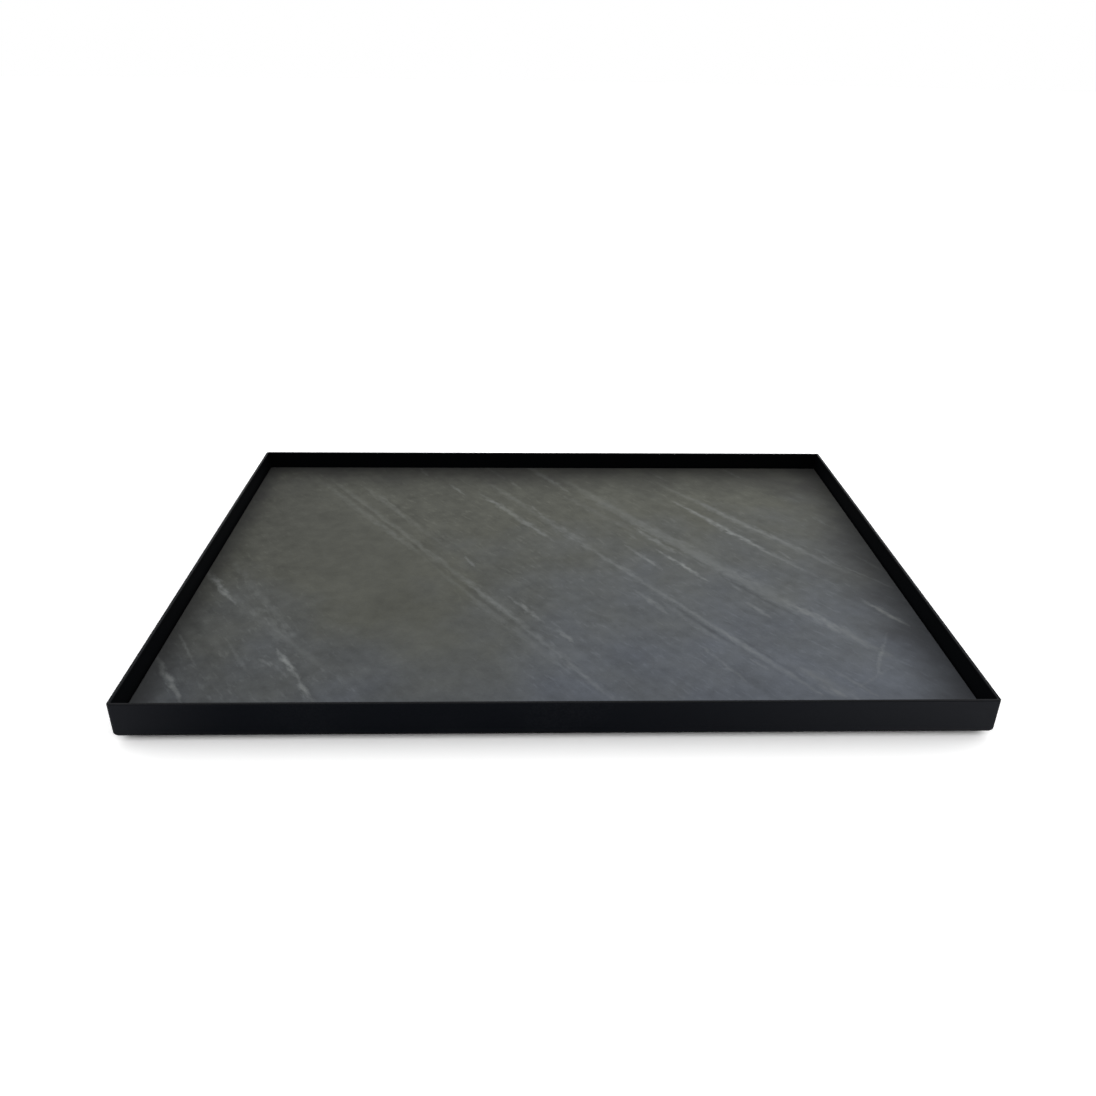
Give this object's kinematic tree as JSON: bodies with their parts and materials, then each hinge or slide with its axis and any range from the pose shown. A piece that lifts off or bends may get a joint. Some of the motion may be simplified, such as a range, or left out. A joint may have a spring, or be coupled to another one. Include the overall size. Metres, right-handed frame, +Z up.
{
  "type": "decorative tray",
  "caption": "Low rectangular decorative tray: a folded black steel pan with a thin veined stone slab bonded inside and small rubber feet underneath.",
  "frame": {"origin": "on the table under the middle of the tray, where the feet stand", "axes": "+X along the tray's long side, +Y from the front wall to the rear wall, +Z up out of the tray"},
  "size_m": [0.4, 0.3, 0.02],
  "materials": {
    "powder_coat": "satin",
    "veined_stone": "matte",
    "foam_tape": "matte",
    "foot_rubber": "matte"
  },
  "bodies": {
    "root": {"steel_pan": "powder_coat", "stone_slab": "veined_stone", "bond_tape_front": "foam_tape", "bond_tape_rear": "foam_tape", "bond_tape_left": "foam_tape", "bond_tape_right": "foam_tape", "bond_tape_centre": "foam_tape", "bumper_foot_front_left": "foot_rubber", "bumper_foot_front_right": "foot_rubber", "bumper_foot_rear_left": "foot_rubber", "bumper_foot_rear_right": "foot_rubber"}
  },
  "joints": []
}
